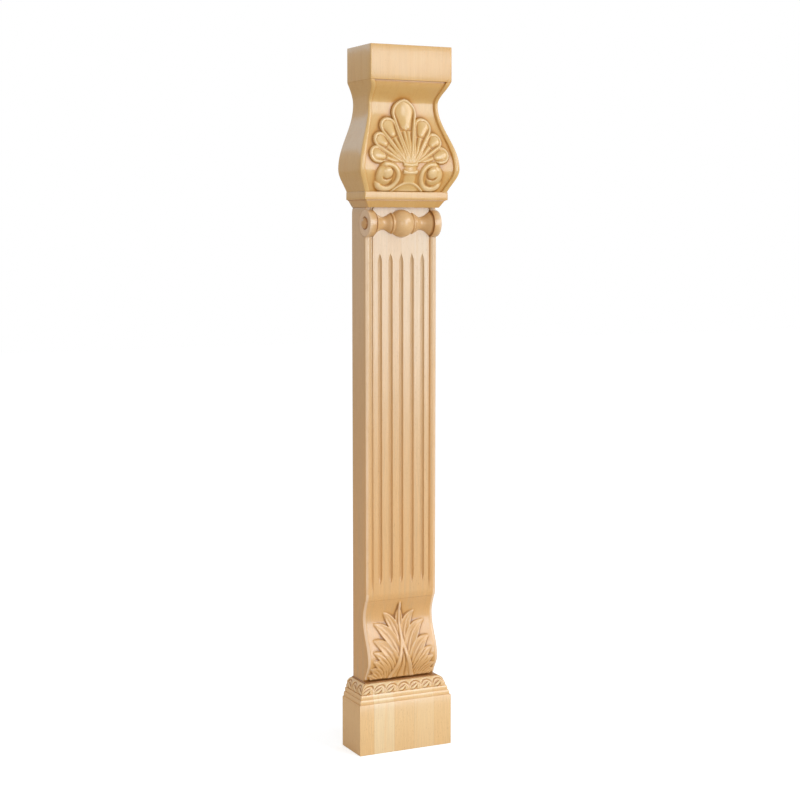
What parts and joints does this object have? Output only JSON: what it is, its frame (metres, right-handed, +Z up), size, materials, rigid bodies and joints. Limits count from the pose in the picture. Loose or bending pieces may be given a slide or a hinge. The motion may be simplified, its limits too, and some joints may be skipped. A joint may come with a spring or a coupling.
{
  "type": "pilaster",
  "caption": "Carved wooden pilaster with a stepped plinth, fluted shaft on an acanthus foot, turned roll and shell-carved vase capital, flat at the back.",
  "frame": {"origin": "middle of the plinth's underside", "axes": "+Z up, the carved front faces -Y, the flat back faces +Y"},
  "size_m": [0.1108, 0.056, 0.72],
  "materials": {
    "plinth_wood": "satin lacquer",
    "shaft_wood": "satin lacquer",
    "roll_wood": "satin lacquer",
    "capital_wood": "satin lacquer"
  },
  "bodies": {
    "root": {"plinth": "plinth_wood", "shaft": "shaft_wood", "roll": "roll_wood", "capital": "capital_wood"}
  },
  "joints": []
}
